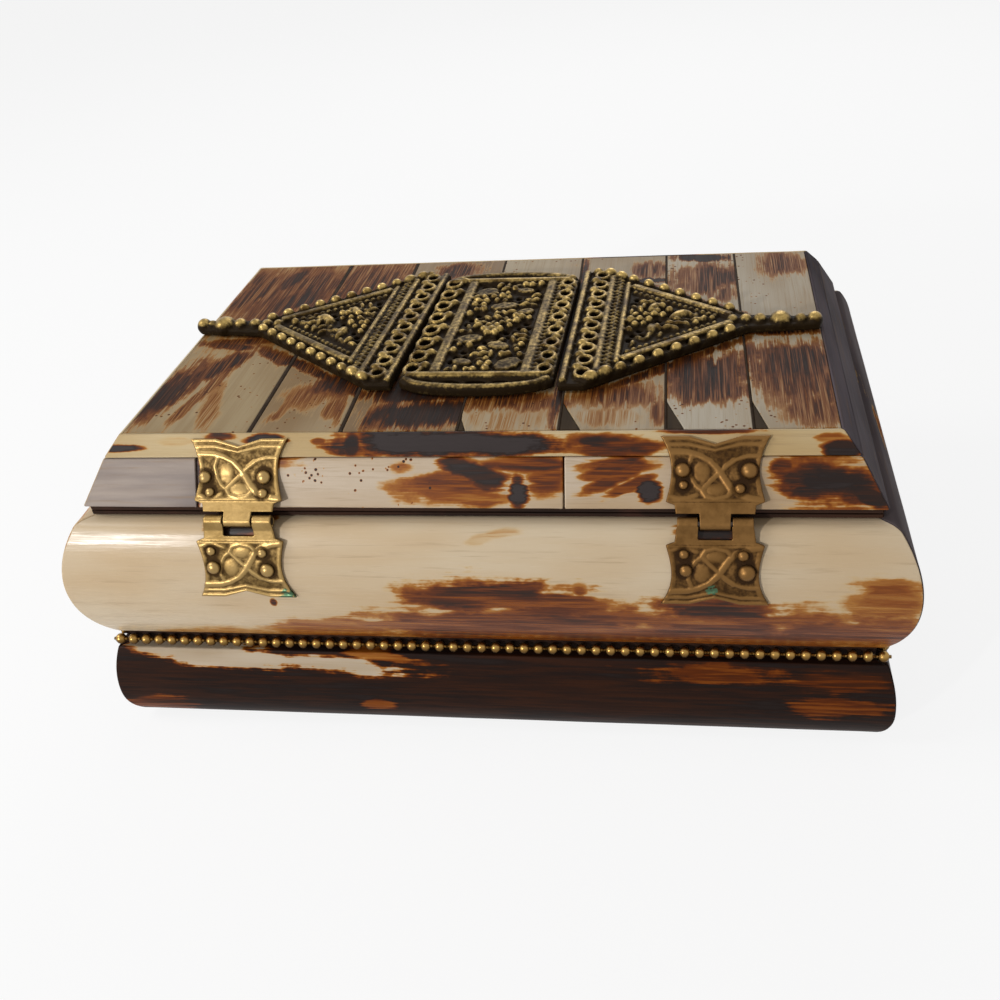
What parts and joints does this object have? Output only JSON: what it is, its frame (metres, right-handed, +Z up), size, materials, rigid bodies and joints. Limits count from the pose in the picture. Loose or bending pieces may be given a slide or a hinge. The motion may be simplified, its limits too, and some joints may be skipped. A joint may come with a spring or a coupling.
{
  "type": "trinket box",
  "caption": "Rectangular trinket box with a bulging bone-clad body, a bevelled hinged lid with pierced castings, a beaded waist and a hasp.",
  "frame": {"origin": "centre of the flat underside", "axes": "+Z up, +X along the length to the right as seen from the hinges, -Y towards the hinges, +Y towards the hasp"},
  "size_m": [0.15, 0.1021, 0.0641],
  "materials": {
    "bone": "polished bone, cream with brown dye",
    "dyed_bone": "polished bone, dyed brown to black",
    "horn": "polished dark horn",
    "wood": "oiled",
    "velvet": "short pile",
    "brass": "stamped and polished",
    "old_brass": "cast, tarnished",
    "steel": "drawn wire"
  },
  "bodies": {
    "base": {"underside_felt": "velvet", "floor_lining": "velvet", "wall_lining": "velvet", "plinth_board": "wood", "wall_back": "wood", "wall_front": "wood", "wall_left": "wood", "wall_right": "wood", "plinth_bone_back": "dyed_bone", "plinth_bone_front": "dyed_bone", "plinth_bone_left": "dyed_bone", "plinth_bone_right": "dyed_bone", "body_bone_back": "bone", "body_bone_front": "bone", "body_bone_left": "bone", "body_bone_right": "bone", "bead_strip_back": "brass", "bead_strip_front": "brass", "bead_strip_left": "brass", "bead_strip_right": "brass", "hinge_left_base_leaf": "brass", "hinge_left_pin": "steel", "hinge_right_base_leaf": "old_brass", "hinge_right_pin": "steel", "staple": "brass"},
    "lid": {"lid_lining": "velvet", "lid_rail_back": "wood", "lid_rail_front": "wood", "lid_rail_left": "wood", "lid_rail_right": "wood", "lid_panel": "wood", "lid_lower_back_1": "bone", "lid_lower_back_2": "bone", "lid_lower_back_3": "bone", "lid_lower_front": "bone", "lid_lower_left": "bone", "lid_lower_right": "bone", "lid_upper_back": "dyed_bone", "lid_upper_front": "dyed_bone", "lid_upper_left": "dyed_bone", "lid_upper_right": "dyed_bone", "top_slip_1": "bone", "top_slip_2": "bone", "top_slip_3": "bone", "top_slip_4": "bone", "top_slip_5": "bone", "top_slip_6": "bone", "top_slip_7": "bone", "horn_wedge_1": "horn", "horn_wedge_2": "horn", "horn_wedge_3": "horn", "hinge_left_lid_leaf": "brass", "hinge_right_lid_leaf": "old_brass", "clasp_lid_leaf": "brass", "clasp_pin": "steel", "ornament_left": "old_brass", "ornament_centre": "old_brass", "ornament_right": "old_brass"},
    "hasp": {"hasp": "brass"}
  },
  "joints": [
    {"name": "lid_hinge", "type": "hinge", "parent": "base", "child": "lid", "pos_m": [0, -0.0462, 0.0484], "axis": [1, 0, 0], "range_deg": [0, 130]},
    {"name": "hasp_hinge", "type": "hinge", "parent": "lid", "child": "hasp", "pos_m": [0, 0.0474, 0.049], "axis": [-1, 0, 0], "range_deg": [0, 201]}
  ]
}
